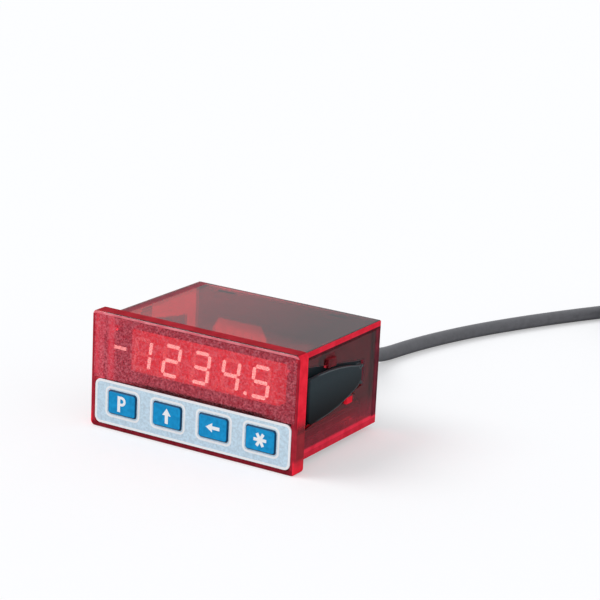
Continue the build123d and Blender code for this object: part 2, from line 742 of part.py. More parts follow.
with BuildPart() as clip_leaf_right:
    leaf_front_y = front_y + leaf_front
    leaf_middle_y = (leaf_front_y + pivot_y) / 2
    outer_front = (body_side + leaf_front_out, leaf_front_y + leaf_tip)
    outer_middle = (body_side + leaf_middle_out, leaf_middle_y)
    outer_rear = (body_side + leaf_rear_out, pivot_y)
    inner_front = (body_side + leaf_front_out - leaf_thickness, leaf_front_y + leaf_tip)
    inner_middle = (body_side + leaf_middle_out - leaf_thickness, leaf_middle_y)
    inner_rear = (pivot_x - barrel_radius / 2, pivot_y)
    with BuildSketch(Plane.XY.offset(clip_z - leaf_front_half)):
        with BuildLine():
            ThreePointArc(outer_rear, outer_middle, outer_front)
            Line(outer_front, (outer_front[0] - leaf_tip, leaf_front_y))
            Line((outer_front[0] - leaf_tip, leaf_front_y), (inner_front[0] + leaf_tip, leaf_front_y))
            Line((inner_front[0] + leaf_tip, leaf_front_y), inner_front)
            ThreePointArc(inner_front, inner_middle, inner_rear)
            Line(inner_rear, outer_rear)
        make_face()
        with Locations((pivot_x, pivot_y)):
            Circle(barrel_radius)
    extrude(amount=2 * leaf_front_half)
    with BuildSketch(Plane.YZ.offset(pocket_floor_x)):
        leaf_rear_y = pivot_y + barrel_radius + overrun
        leaf_root_y = pivot_y - leaf_root
        neck_y = leaf_root_y + leaf_neck
        with BuildLine():
            Polyline(
                (leaf_root_y, clip_z + leaf_root_half),
                (neck_y, clip_z + barrel_half),
                (leaf_rear_y, clip_z + barrel_half),
                (leaf_rear_y, clip_z - barrel_half),
                (neck_y, clip_z - barrel_half),
                (leaf_root_y, clip_z - leaf_root_half),
            )
            ThreePointArc(
                (leaf_root_y, clip_z - leaf_root_half),
                (leaf_middle_y, clip_z - leaf_middle_half),
                (leaf_front_y, clip_z - leaf_front_half),
            )
            Line((leaf_front_y, clip_z - leaf_front_half), (leaf_front_y, clip_z + leaf_front_half))
            ThreePointArc(
                (leaf_front_y, clip_z + leaf_front_half),
                (leaf_middle_y, clip_z + leaf_middle_half),
                (leaf_root_y, clip_z + leaf_root_half),
            )
        make_face()
        fillet(vertices().group_by(Axis.Y)[0], leaf_corner)
    extrude(amount=pocket_depth + leaf_front_out + overrun, mode=Mode.INTERSECT)
    # Trunnions that turn in the ears
    with BuildSketch(Plane.XY.offset(clip_z - ear_outer)):
        with Locations((pivot_x, pivot_y)):
            Circle(trunnion_radius)
    extrude(amount=2 * ear_outer)
keep("clip_leaf_right", clip_leaf_right)

for name, right_piece in (("clip_plate_left", clip_plate_right), ("clip_leaf_left", clip_leaf_right)):
    with BuildPart() as left_piece:
        add(right_piece.part)
        mirror(about=Plane.YZ, mode=Mode.REPLACE)
    keep(name, left_piece)

# Strain relief: a rubber sleeve that snaps into the hole of the rear cover
with BuildPart() as strain_relief:
    relief_root_y = cover_back_y + relief_collar_depth
    relief_end_y = relief_root_y + relief_length
    relief_taper = (relief_root_radius - relief_tip_radius) / relief_length
    with BuildSketch(Plane.YZ.offset(outlet_x)):
        with BuildLine():
            Polyline(
                (cover_front_y - relief_flange_thickness, cable_z),
                (cover_front_y - relief_flange_thickness, cable_z + relief_flange_radius),
                (cover_front_y, cable_z + relief_flange_radius),
                (cover_front_y, cable_z + relief_neck_radius),
                (cover_back_y, cable_z + relief_neck_radius),
                (cover_back_y, cable_z + relief_collar_radius),
                (relief_root_y, cable_z + relief_collar_radius),
                (relief_root_y, cable_z + relief_root_radius),
                (relief_end_y, cable_z + relief_tip_radius),
                (relief_end_y, cable_z),
                close=True,
            )
        make_face()
        for index in range(relief_groove_count):
            groove_from_root = relief_groove_start + index * relief_groove_pitch
            groove_edge = relief_root_radius - relief_taper * groove_from_root
            with Locations((relief_root_y + groove_from_root, cable_z + groove_edge)):
                Rectangle(relief_groove_width, 2 * relief_groove_depth, mode=Mode.SUBTRACT)
    revolve(axis=Axis((outlet_x, cover_back_y, cable_z), (0, 1, 0)))
keep("strain_relief", strain_relief)

# Wires from the cable to the socket: out of the strain relief as a bunch, then spread
with BuildPart() as inner_wires:
    wire_start_y = cover_front_y - relief_flange_thickness
    for index, share in enumerate(wire_bunch_shares):
        wire_x = outlet_x + (index - (outlet_pins - 1) / 2) * outlet_pitch
        bunch_x = outlet_x + share * 2 * relief_neck_radius
        with BuildLine():
            wire_path = Polyline(
                (bunch_x, wire_start_y, cable_z),
                (bunch_x, wire_start_y - wire_straight, cable_z),
                (wire_x, outlet_back_y + wire_straight, outlet_middle_z),
                (wire_x, outlet_back_y - outlet_wall, outlet_middle_z),
            )
        with BuildSketch(across(wire_start_y)):
            with Locations((bunch_x, cable_z)):
                Circle(wire_radius)
        sweep(path=wire_path, transition=Transition.RIGHT)
keep("inner_wires", inner_wires)

# Route of the free cable, chosen by hand: from the strain relief down to the floor and away
cable_floor_z = cable_radius + floor_gap
cable_route = [
    (3.0, 42.075, 13.0),
    (3.0, 52.0, 13.0),
    (2.8, 64.0, 9.7),
    (2.4, 76.0, 4.9),
    (2.2, 87.0, 2.4),
    (3.8, 99.0, 2.4),
    (7.3, 114.4, 2.4),
    (13.0, 132.4, 2.4),
    (21.3, 152.0, 2.4),
    (30.3, 170.2, 2.4),
    (39.46, 186.7, 2.4),
]

# Each corner of the route is rounded by 0.45 of its shorter run over the tangent of half the turn
arc_share = 0.45
route_points = [Vector(*point) for point in cable_route]
route_runs = [after - before for before, after in zip(route_points, route_points[1:])]
route_radii = [
    arc_share * min(first.length, second.length) / tan(radians(first.get_angle(second)) / 2)
    for first, second in zip(route_runs, route_runs[1:])
]
print("cable radii", [round(radius, 1) for radius in route_radii])

with BuildPart() as cable:
    with BuildLine():
        cable_path = FilletPolyline(*cable_route, radius=route_radii)
    with BuildSketch(Plane(origin=cable_route[0], z_dir=route_runs[0])):
        Circle(cable_radius)
    sweep(path=cable_path)
keep("cable", cable)

# Coil: the cable arrives along a tangent, winds inwards, climbs and winds outwards again
entry_heading = Vector(route_runs[-1].X, route_runs[-1].Y).normalized()
entry_start = Vector(*cable_route[-1][:2], cable_floor_z)
entry_point = entry_start + entry_heading * entry_stub
coil_middle = entry_point + Vector(entry_heading.Y, -entry_heading.X) * coil_turn_radius
entry_angle = atan2(entry_point.Y - coil_middle.Y, entry_point.X - coil_middle.X)
coil_turns = 2 * coil_layer_turns + coil_climb_turns
exit_angle = entry_angle - 2 * pi * coil_turns
coil_inner_radius = coil_turn_radius - coil_layer_turns * coil_pitch
coil_top_z = cable_floor_z + coil_pitch
coil_reach = coil_turn_radius + cable_radius + coil_skin
coil_eye = coil_inner_radius - cable_radius - coil_skin
coil_height = coil_top_z + cable_radius + coil_skin
exit_heading = Vector(sin(exit_angle), -cos(exit_angle))
exit_spoke = Vector(cos(exit_angle), sin(exit_angle))
exit_point = coil_middle + exit_spoke * coil_turn_radius + Vector(0, 0, coil_pitch)
plug_start = exit_point + exit_heading * exit_stub

with BuildPart() as cable_coil:
    coil_axis_foot = (coil_middle.X, coil_middle.Y, 0)
    with BuildSketch(Plane(origin=coil_axis_foot, x_dir=(1, 0, 0), z_dir=(0, -1, 0))):
        with Locations(((coil_eye + coil_reach) / 2, coil_height / 2)):
            RectangleRounded(coil_reach - coil_eye, coil_height, coil_round)
    revolve(axis=Axis(coil_axis_foot, (0, 0, 1)))
    for stub_end, heading, length in (
        (entry_start, entry_heading, entry_stub),
        (plug_start, exit_heading * -1, exit_stub),
    ):
        with BuildSketch(Plane(origin=stub_end, z_dir=heading)):
            Circle(cable_radius)
        extrude(amount=length)
keep("cable_coil", cable_coil)

cable_length = cable_path.length + entry_stub + exit_stub
cable_length += 2 * pi * coil_layer_turns * (coil_turn_radius + coil_inner_radius)
cable_length += 2 * pi * coil_climb_turns * coil_inner_radius
print("connector starts at", plug_start, "heading", exit_heading)
print("cable length", round(cable_length), "of which uncoiled", round(cable_path.length, 1))
print("tube volume share", round(cable.part.volume / (pi * cable_radius**2 * cable_path.length), 4))

# Planes through and across the axis of the round connector
plug_lengthwise = Plane(
    origin=plug_start, x_dir=exit_heading, z_dir=(exit_heading.Y, -exit_heading.X, 0)
)
plug_axis = Axis(plug_start, exit_heading)
nut_start = grip_length + nut_end_gap
nut_end = nut_start + nut_length
collar_end = nut_end + nut_end_gap + collar_lip_length


def plug_across(distance):
    """Plane across the connector, this far from the end of the cable."""
    return Plane(origin=plug_start + exit_heading * distance, x_dir=(0, 0, 1), z_dir=exit_heading)


# Connector body: a ribbed grip with a collar that carries the nut
with BuildPart() as connector_body:
    with BuildSketch(plug_lengthwise):
        with BuildLine():
            Polyline(
                (0, 0),
                (0, grip_root_radius),
                (grip_taper, grip_radius),
                (grip_length, grip_radius),
                (grip_length, collar_radius),
                (nut_end + nut_end_gap, collar_radius),
                (nut_end + nut_end_gap, collar_radius + collar_lip),
                (collar_end, collar_radius + collar_lip),
                (collar_end, 0),
                close=True,
            )
        make_face()
        for index in range(grip_ring_count):
            with Locations((grip_taper + (index + 1) * grip_ring_pitch, grip_radius)):
                Rectangle(grip_ring_width, 2 * grip_ring_depth, mode=Mode.SUBTRACT)
    revolve(axis=plug_axis)
keep("connector_body", connector_body)

# Knurled nut with its threaded sleeve
with BuildPart() as coupling_nut:
    with BuildSketch(plug_lengthwise):
        with BuildLine():
            Polyline(
                (nut_start, collar_radius + nut_gap),
                (nut_start, nut_radius - nut_edge),
                (nut_start + nut_edge, nut_radius),
                (nut_end - nut_edge, nut_radius),
                (nut_end, nut_radius - nut_edge),
                (nut_end, thread_radius),
                (nut_end + thread_length - thread_edge, thread_radius),
                (nut_end + thread_length, thread_radius - thread_edge),
                (nut_end + thread_length, thread_bore),
                (nut_end, thread_bore),
                (nut_end, collar_radius + nut_gap),
                close=True,
            )
        make_face()
    revolve(axis=plug_axis)
    with BuildSketch(plug_across(nut_start)):
        with PolarLocations(nut_radius + nut_flute_radius - nut_flute_depth, nut_flutes):
            Circle(nut_flute_radius)
    extrude(amount=nut_length, mode=Mode.SUBTRACT)
keep("coupling_nut", coupling_nut)

# Contact carrier with its coding rib, and the contacts
with BuildPart() as contact_carrier:
    with BuildSketch(plug_across(collar_end)):
        Circle(insert_radius)
        with Locations((insert_radius, 0)):
            Rectangle(2 * coding_height, coding_width)
    extrude(amount=insert_length)
keep("contact_carrier", contact_carrier)

with BuildPart() as contacts:
    with BuildSketch(plug_across(collar_end + insert_length)):
        with PolarLocations(contact_circle, contact_count):
            Circle(contact_radius)
    extrude(amount=contact_length)
    contact_ends = contacts.faces().filter_by(Plane(origin=plug_start, z_dir=exit_heading))
    chamfer(contact_ends.edges(), contact_end_bevel)
keep("contacts", contacts)

for name, piece in pieces.items():
    export_step(piece, f"parts/{name}.step")
print(len(pieces), "pieces")
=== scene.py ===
import json
import math
import bpy
import bmesh
from collections import namedtuple
from mathutils import Matrix, Vector


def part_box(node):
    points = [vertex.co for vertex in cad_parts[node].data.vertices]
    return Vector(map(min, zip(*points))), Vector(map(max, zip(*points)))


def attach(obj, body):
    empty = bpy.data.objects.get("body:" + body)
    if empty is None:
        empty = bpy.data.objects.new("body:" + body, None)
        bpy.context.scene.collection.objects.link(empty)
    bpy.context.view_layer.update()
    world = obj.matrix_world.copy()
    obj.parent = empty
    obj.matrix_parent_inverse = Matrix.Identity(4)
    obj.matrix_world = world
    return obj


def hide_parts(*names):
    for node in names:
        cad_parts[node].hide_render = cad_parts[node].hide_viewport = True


# Looks of a digital panel meter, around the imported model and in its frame. Metres, but for
# what is said to be in mm.

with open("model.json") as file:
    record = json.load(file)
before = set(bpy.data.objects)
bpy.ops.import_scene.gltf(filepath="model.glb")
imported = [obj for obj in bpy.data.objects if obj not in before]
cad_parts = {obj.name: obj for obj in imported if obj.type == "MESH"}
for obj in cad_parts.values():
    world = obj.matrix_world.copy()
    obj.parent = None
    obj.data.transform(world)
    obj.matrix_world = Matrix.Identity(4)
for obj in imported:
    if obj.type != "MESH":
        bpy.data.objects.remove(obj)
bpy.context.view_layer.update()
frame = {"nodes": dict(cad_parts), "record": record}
nodes = frame["nodes"]
MM = 0.001


# The photograph alone fixes the distance only weakly, at roughly 550 to 640 mm
azimuth, elevation, roll = math.radians(30.612), math.radians(15.869), math.radians(2.873)
distance = 605.219 * MM
target = Vector((23.153, -5.625, 45.648)) * MM
focal_pixels, frame_pixels = 2098.68, 600
back = Vector(
    (
        math.sin(azimuth) * math.cos(elevation),
        -math.cos(azimuth) * math.cos(elevation),
        math.sin(elevation),
    )
)
level_right = Vector((math.cos(azimuth), math.sin(azimuth), 0))
level_up = back.cross(level_right)
right = level_right * math.cos(roll) + level_up * math.sin(roll)
up = level_up * math.cos(roll) - level_right * math.sin(roll)
camera_data = bpy.data.cameras.new("camera")
camera_data.sensor_width = 36
camera_data.lens = camera_data.sensor_width * focal_pixels / frame_pixels
camera_data.clip_start = 0.01
camera = bpy.data.objects.new("camera", camera_data)
turned = Matrix((right, up, back)).transposed().to_4x4()
camera.matrix_world = Matrix.Translation(target + back * distance) @ turned
bpy.context.collection.objects.link(camera)
bpy.context.scene.camera = camera
bpy.context.scene.view_settings.view_transform = "Standard"


# Building blocks for materials
class Tree:
    """Node tree of a material or of the world, and the steps that build the finishes in it."""

    # A noise seldom leaves this range
    noise_low, noise_high = 0.3, 0.7

    def __init__(self, owner, output_kind="ShaderNodeOutputMaterial"):
        owner.use_nodes = True
        self.nodes = owner.node_tree.nodes
        self.links = owner.node_tree.links
        self.nodes.clear()
        self.surface = self.nodes.new(output_kind).inputs["Surface"]

    def feed(self, node, inputs):
        """Set each input to its number or colour, or link it to the output that it is given."""
        for socket, value in inputs.items():
            if isinstance(value, bpy.types.NodeSocket):
                self.links.new(value, node.inputs[socket])
            elif isinstance(value, tuple):
                node.inputs[socket].default_value = (*value, 1)
            else:
                node.inputs[socket].default_value = value

    def add(self, kind, inputs):
        """New node with these inputs."""
        node = self.nodes.new(kind)
        self.feed(node, inputs)
        return node

    def shader(self, kind, inputs):
        """Output of a new shader with these inputs."""
        return self.add(kind, inputs).outputs[0]

    def show(self, shader):
        """Make this shader the one that is seen."""
        self.links.new(shader, self.surface)

    def light_path(self):
        """Factors that are 1 for each kind of ray."""
        return self.nodes.new("ShaderNodeLightPath").outputs

    def calculate(self, operation, *values, clamp=False):
        """Result of an operation on factors and numbers."""
        node = self.nodes.new("ShaderNodeMath")
        node.operation = operation
        node.use_clamp = clamp
        self.feed(node, dict(enumerate(values)))
        return node.outputs["Value"]

    def remap(self, value, from_low, from_high, to_low=0.0, to_high=1.0):
        """Number taken from one range to another, and held at its ends."""
        ends = {"From Min": from_low, "From Max": from_high, "To Min": to_low, "To Max": to_high}
        return self.add("ShaderNodeMapRange", {"Value": value, **ends}).outputs["Result"]

    def spread(self, noise, low, high):
        """Number that goes from low to high as a noise rises."""
        return self.remap(noise, self.noise_low, self.noise_high, low, high)

    def axes(self):
        """The object's own coordinates, one output for each axis."""
        place = self.nodes.new("ShaderNodeTexCoord")
        return self.add("ShaderNodeSeparateXYZ", {"Vector": place.outputs["Object"]}).outputs

    def noise(self, scale, detail=3.0, roughness=0.5):
        """Noise in the object's own coordinates. Scale is in cells a metre."""
        place = self.nodes.new("ShaderNodeTexCoord")
        kind = {"Scale": scale, "Detail": detail, "Roughness": roughness}
        texture = self.add("ShaderNodeTexNoise", {"Vector": place.outputs["Object"], **kind})
        return texture.outputs["Fac"]

    def bump(self, height, strength, depth):
        """Normal of a surface with a fine relief. Depth is in mm."""
        relief = {"Height": height, "Strength": strength, "Distance": depth * MM}
        return self.add("ShaderNodeBump", relief).outputs["Normal"]

    def blend(self, factor, low, high, low_at=0.35, high_at=0.65):
        """Colour that goes from low to high as the factor rises."""
        ramp = self.add("ShaderNodeValToRGB", {"Fac": factor})
        first, last = ramp.color_ramp.elements
        first.position, first.color = low_at, (*low, 1)
        last.position, last.color = high_at, (*high, 1)
        return ramp.outputs["Color"]

    def mix_colours(self, factor, first, second):
        """First colour where the factor is 0, second colour where it is 1."""
        mix = self.nodes.new("ShaderNodeMix")
        mix.data_type = "RGBA"
        self.feed(mix, {"Factor": factor, "A": first, "B": second})
        return mix.outputs["Result"]

    def mix_shaders(self, factor, first, second):
        """First shader where the factor is 0, second shader where it is 1."""
        return self.add("ShaderNodeMixShader", {0: factor, 1: first, 2: second}).outputs["Shader"]

    def between(self, coordinate, low, high, soft=0.05):
        """Factor that is 1 where a coordinate lies between two values, all in mm."""
        middle, half = (low + high) / 2, (high - low) / 2
        offset = self.calculate("SUBTRACT", coordinate, middle * MM)
        distance_off = self.calculate("ABSOLUTE", offset)
        return self.remap(distance_off, (half + soft) * MM, (half - soft) * MM)

    def fold(self, operation, factors):
        """Result of an operation on the first two factors, then on that and the third, and on."""
        result, *others = factors
        for factor in others:
            result = self.calculate(operation, result, factor, clamp=True)
        return result

    def zone(self, axes, box):
        """Factor that is 1 inside a box: low, high and softness, in mm, for each named axis."""
        limits = box.items()
        return self.fold("MULTIPLY", [self.between(axes[axis], *ends) for axis, ends in limits])

    def zones(self, axes, boxes):
        """Factor that is 1 inside any of the boxes."""
        return self.fold("MAXIMUM", [self.zone(axes, box) for box in boxes])


def material_tree(name):
    """New material and its node tree."""
    material = bpy.data.materials.new(name)
    return material, Tree(material)


def plastic(
    name,
    colour,
    roughness=0.45,
    mottle=0.08,
    mottle_scale=900,
    grain_scale=9000,
    grain_depth=0.004,
    metallic=0.0,
    specular=0.5,
):
    """Opaque finish: slight mottling of the colour, uneven gloss and a fine surface grain."""
    grain_strength, gloss_unevenness = 0.35, 0.12
    material, tree = material_tree(name)
    broad = tree.noise(scale=mottle_scale)
    fine = tree.noise(scale=grain_scale, detail=2.0)
    low = tuple(channel * (1 - mottle) for channel in colour)
    high = tuple(min(1.0, channel * (1 + mottle)) for channel in colour)
    gloss_high = min(1.0, roughness * (1 + gloss_unevenness))
    shader = tree.shader(
        "ShaderNodeBsdfPrincipled",
        {
            "Base Color": tree.blend(broad, low, high),
            "Metallic": metallic,
            "Roughness": tree.spread(broad, roughness * (1 - gloss_unevenness), gloss_high),
            "Specular IOR Level": specular,
            "Normal": tree.bump(fine, grain_strength, grain_depth),
        },
    )
    tree.show(shader)
    return material


def clear_housing(name, painted_edge_looks):
    """Clear red moulding: a lighter window before the numerals, a roof with painted shade, and
    painted light and shade at the edges.
    """
    plain_tint, window_tint = (0.80, 0.05, 0.075), (0.93, 0.26, 0.27)
    window_box = {"Y": (-25.5, -23.0), "Z": (15.0, 35.4), "X": (-35.4, 35.4)}
    # Painted shade: the roof's tint is deeper towards the clip on the right
    roof_shade_tint = (0.18, 0.015, 0.025)
    roof_shade_box = {"X": (2.0, 60.0, 22.0), "Y": (-9.0, 30.0, 3.5), "Z": (32.0, 34.6)}
    shadow_tint = (0.72, 0.58, 0.60)
    material, tree = material_tree(name)
    axes = tree.axes()
    window = tree.zone(axes, window_box)
    tint = tree.blend(window, plain_tint, window_tint, low_at=0.0, high_at=1.0)
    fine = tree.noise(scale=4000, detail=2.0)
    body = tree.shader(
        "ShaderNodeBsdfPrincipled",
        {
            "Base Color": tree.mix_colours(tree.zone(axes, roof_shade_box), tint, roof_shade_tint),
            "IOR": 1.49,
            "Transmission Weight": 1.0,
            "Roughness": tree.spread(fine, low=0.02, high=0.04),
            "Normal": tree.bump(fine, strength=0.3, depth=0.002),
        },
    )
    # Painted glow, highlights and shade in zones at the edges, standing in for light that runs
    # along the walls and comes out at their ends
    mottle = tree.noise(scale=350)
    for light in painted_edge_looks:
        colour = tree.blend(mottle, light.low, light.high)
        glow = tree.shader(
            "ShaderNodeBsdfPrincipled",
            {
                "Base Color": colour,
                "Roughness": 0.3,
                "Specular IOR Level": 0.005,
                "Emission Color": colour,
                "Emission Strength": light.emission,
            },
        )
        share = tree.calculate("MULTIPLY", tree.zones(axes, light.boxes), light.share)
        body = tree.mix_shaders(share, body, glow)
    shine_through = tree.shader("ShaderNodeBsdfTransparent", {"Color": shadow_tint})
    tree.show(tree.mix_shaders(tree.light_path()["Is Shadow Ray"], body, shine_through))
    return material


def frosted_foil(name):
    """Thin clear foil with a sparkling frost on it."""
    foil_tint, frost_red, frost_pink = (0.97, 0.84, 0.86), (0.88, 0.06, 0.12), (1.0, 0.30, 0.36)
    # Painted light: extra frost on the left
    painted_light_share, painted_light_box = 0.05, {"X": (-50.0, -17.5, 3.0)}
    thinner_by, thinner_box = 0.30, {"Z": (14.0, 16.5, 0.3), "X": (-21.0, 28.0, 5.0)}
    material, tree = material_tree(name)
    axes = tree.axes()
    grain = tree.noise(scale=1700, detail=5.0, roughness=0.75)
    clear = tree.shader("ShaderNodeBsdfTransparent", {"Color": foil_tint})
    frost = tree.shader(
        "ShaderNodeBsdfPrincipled",
        {
            "Base Color": tree.blend(grain, frost_red, frost_pink, low_at=0.42, high_at=0.62),
            "Roughness": 0.5,
            "Specular IOR Level": 0.2,
            "Normal": tree.bump(grain, strength=0.5, depth=0.02),
        },
    )
    # The frost is denser on the left, which is painted light, and thins out along the lower edge,
    # so that it is darker there
    haze = tree.spread(grain, low=0.18, high=0.50)
    haze = tree.calculate("MULTIPLY_ADD", tree.zone(axes, painted_light_box), painted_light_share, haze)
    thinned = tree.calculate("MULTIPLY", tree.zone(axes, thinner_box), thinner_by)
    haze = tree.calculate("SUBTRACT", haze, thinned, clamp=True)
    tree.show(tree.mix_shaders(haze, clear, frost))
    return material


def lamp(name, colour, strength, rest_colour):
    """Glowing surface over its own colour, slightly uneven."""
    dimmest_share = 0.85
    material, tree = material_tree(name)
    dim_colour = tuple(channel * dimmest_share for channel in colour)
    shader = tree.shader(
        "ShaderNodeBsdfPrincipled",
        {
            "Base Color": rest_colour,
            "Roughness": 0.3,
            "Emission Color": tree.blend(tree.noise(scale=1500), dim_colour, colour),
            "Emission Strength": strength,
        },
    )
    tree.show(shader)
    return material


def clip_plastic(name):
    """Black spring plastic, with a painted sheen that makes it paler towards the top, and painted
    highlights on its edges.
    """
    # The dark colour is the plastic's own; the pale colour is a painted sheen towards the top, and
    # the third a painted highlight on the edges
    dark, pale, painted_highlight = (0.0015, 0.002, 0.003), (0.027, 0.044, 0.052), (0.17, 0.20, 0.21)
    sheen_start_height, sheen_full_height, mottle_share = 14 * MM, 25 * MM, 0.20
    edge_radius, edge_samples = 0.7 * MM, 6
    # Cosine between the rounded and the flat normal: just off the face, and on the edge
    off_face, on_edge = 0.985, 0.92
    # The front of the clip, in the shade of the bezel, has no painted highlights on its edges
    edges_from, edges_to, edges_soft = -13.0, 40.0, 1.5
    material, tree = material_tree(name)
    axes = tree.axes()
    mottle = tree.noise(scale=700)
    height = tree.remap(axes["Z"], sheen_start_height, sheen_full_height)
    height = tree.calculate("MULTIPLY_ADD", mottle, mottle_share, height)
    rounded = tree.add("ShaderNodeBevel", {"Radius": edge_radius})
    rounded.samples = edge_samples
    flat = tree.nodes.new("ShaderNodeNewGeometry")
    turn = tree.nodes.new("ShaderNodeVectorMath")
    turn.operation = "DOT_PRODUCT"
    tree.feed(turn, {0: rounded.outputs["Normal"], 1: flat.outputs["True Normal"]})
    edge = tree.remap(turn.outputs["Value"], off_face, on_edge)
    lit_part = tree.between(axes["Y"], edges_from, edges_to, edges_soft)
    lit_edge = tree.calculate("MULTIPLY", edge, lit_part, clamp=True)
    colour = tree.blend(height, dark, pale, low_at=0.10, high_at=1.0)
    shader = tree.shader(
        "ShaderNodeBsdfPrincipled",
        {
            "Base Color": tree.mix_colours(lit_edge, colour, painted_highlight),
            "Roughness": tree.spread(mottle, low=0.34, high=0.42),
            "Specular IOR Level": 0.12,
            "Normal": rounded.outputs["Normal"],
        },
    )
    tree.show(shader)
    return material


def blue_key(name):
    """Blue key: a mottled face, and flanks in a darker blue that is painted shade."""
    shaded_flank_blue, low_blue, high_blue = (0.003, 0.07, 0.17), (0.003, 0.27, 0.58), (0.007, 0.35, 0.71)
    face_from, face_to, face_soft = -26.4, -26.02, 0.04
    material, tree = material_tree(name)
    mottle = tree.noise(scale=900)
    face = tree.between(tree.axes()["Y"], face_from, face_to, face_soft)
    face_blue = tree.blend(mottle, low_blue, high_blue)
    shader = tree.shader(
        "ShaderNodeBsdfPrincipled",
        {
            "Base Color": tree.mix_colours(face, shaded_flank_blue, face_blue),
            "Roughness": tree.spread(mottle, low=0.42, high=0.5),
            "Specular IOR Level": 0.14,
        },
    )
    tree.show(shader)
    return material


def striped(name, colours, pitch, start, roughness):
    """Opaque finish in steps of colour along X, one step a pitch, from start."""
    gloss_unevenness = 0.2
    material, tree = material_tree(name)
    along = tree.remap(tree.axes()["X"], start, start + pitch * len(colours))
    ramp = tree.add("ShaderNodeValToRGB", {"Fac": along})
    ramp.color_ramp.interpolation = "CONSTANT"
    elements = ramp.color_ramp.elements
    while len(elements) < len(colours):
        elements.new(0.5)
    for index, colour in enumerate(colours):
        elements[index].position = index / len(colours)
        elements[index].color = (*colour, 1)
    gloss_low, gloss_high = roughness * (1 - gloss_unevenness), roughness * (1 + gloss_unevenness)
    shader = tree.shader(
        "ShaderNodeBsdfPrincipled",
        {
            "Base Color": ramp.outputs["Color"],
            "Roughness": tree.spread(tree.noise(scale=4000), gloss_low, gloss_high),
        },
    )
    tree.show(shader)
    return material


# Painted light and shade at the edges of the clear moulding: glows, highlights and dark bands. Each
# entry has its boxes, in mm, the two colours that it is mottled with, the strength of its glow, and
# its share over the clear plastic below.
PaintedEdgeLook = namedtuple("PaintedEdgeLook", "boxes low high emission share")


def both_sides(*boxes):
    """The boxes given for the right side, and their mirror images on the left side."""
    pairs = []
    for box in boxes:
        low, high, *soft = box["X"]
        pairs += [box, {**box, "X": (-high, -low, *soft)}]
    return pairs


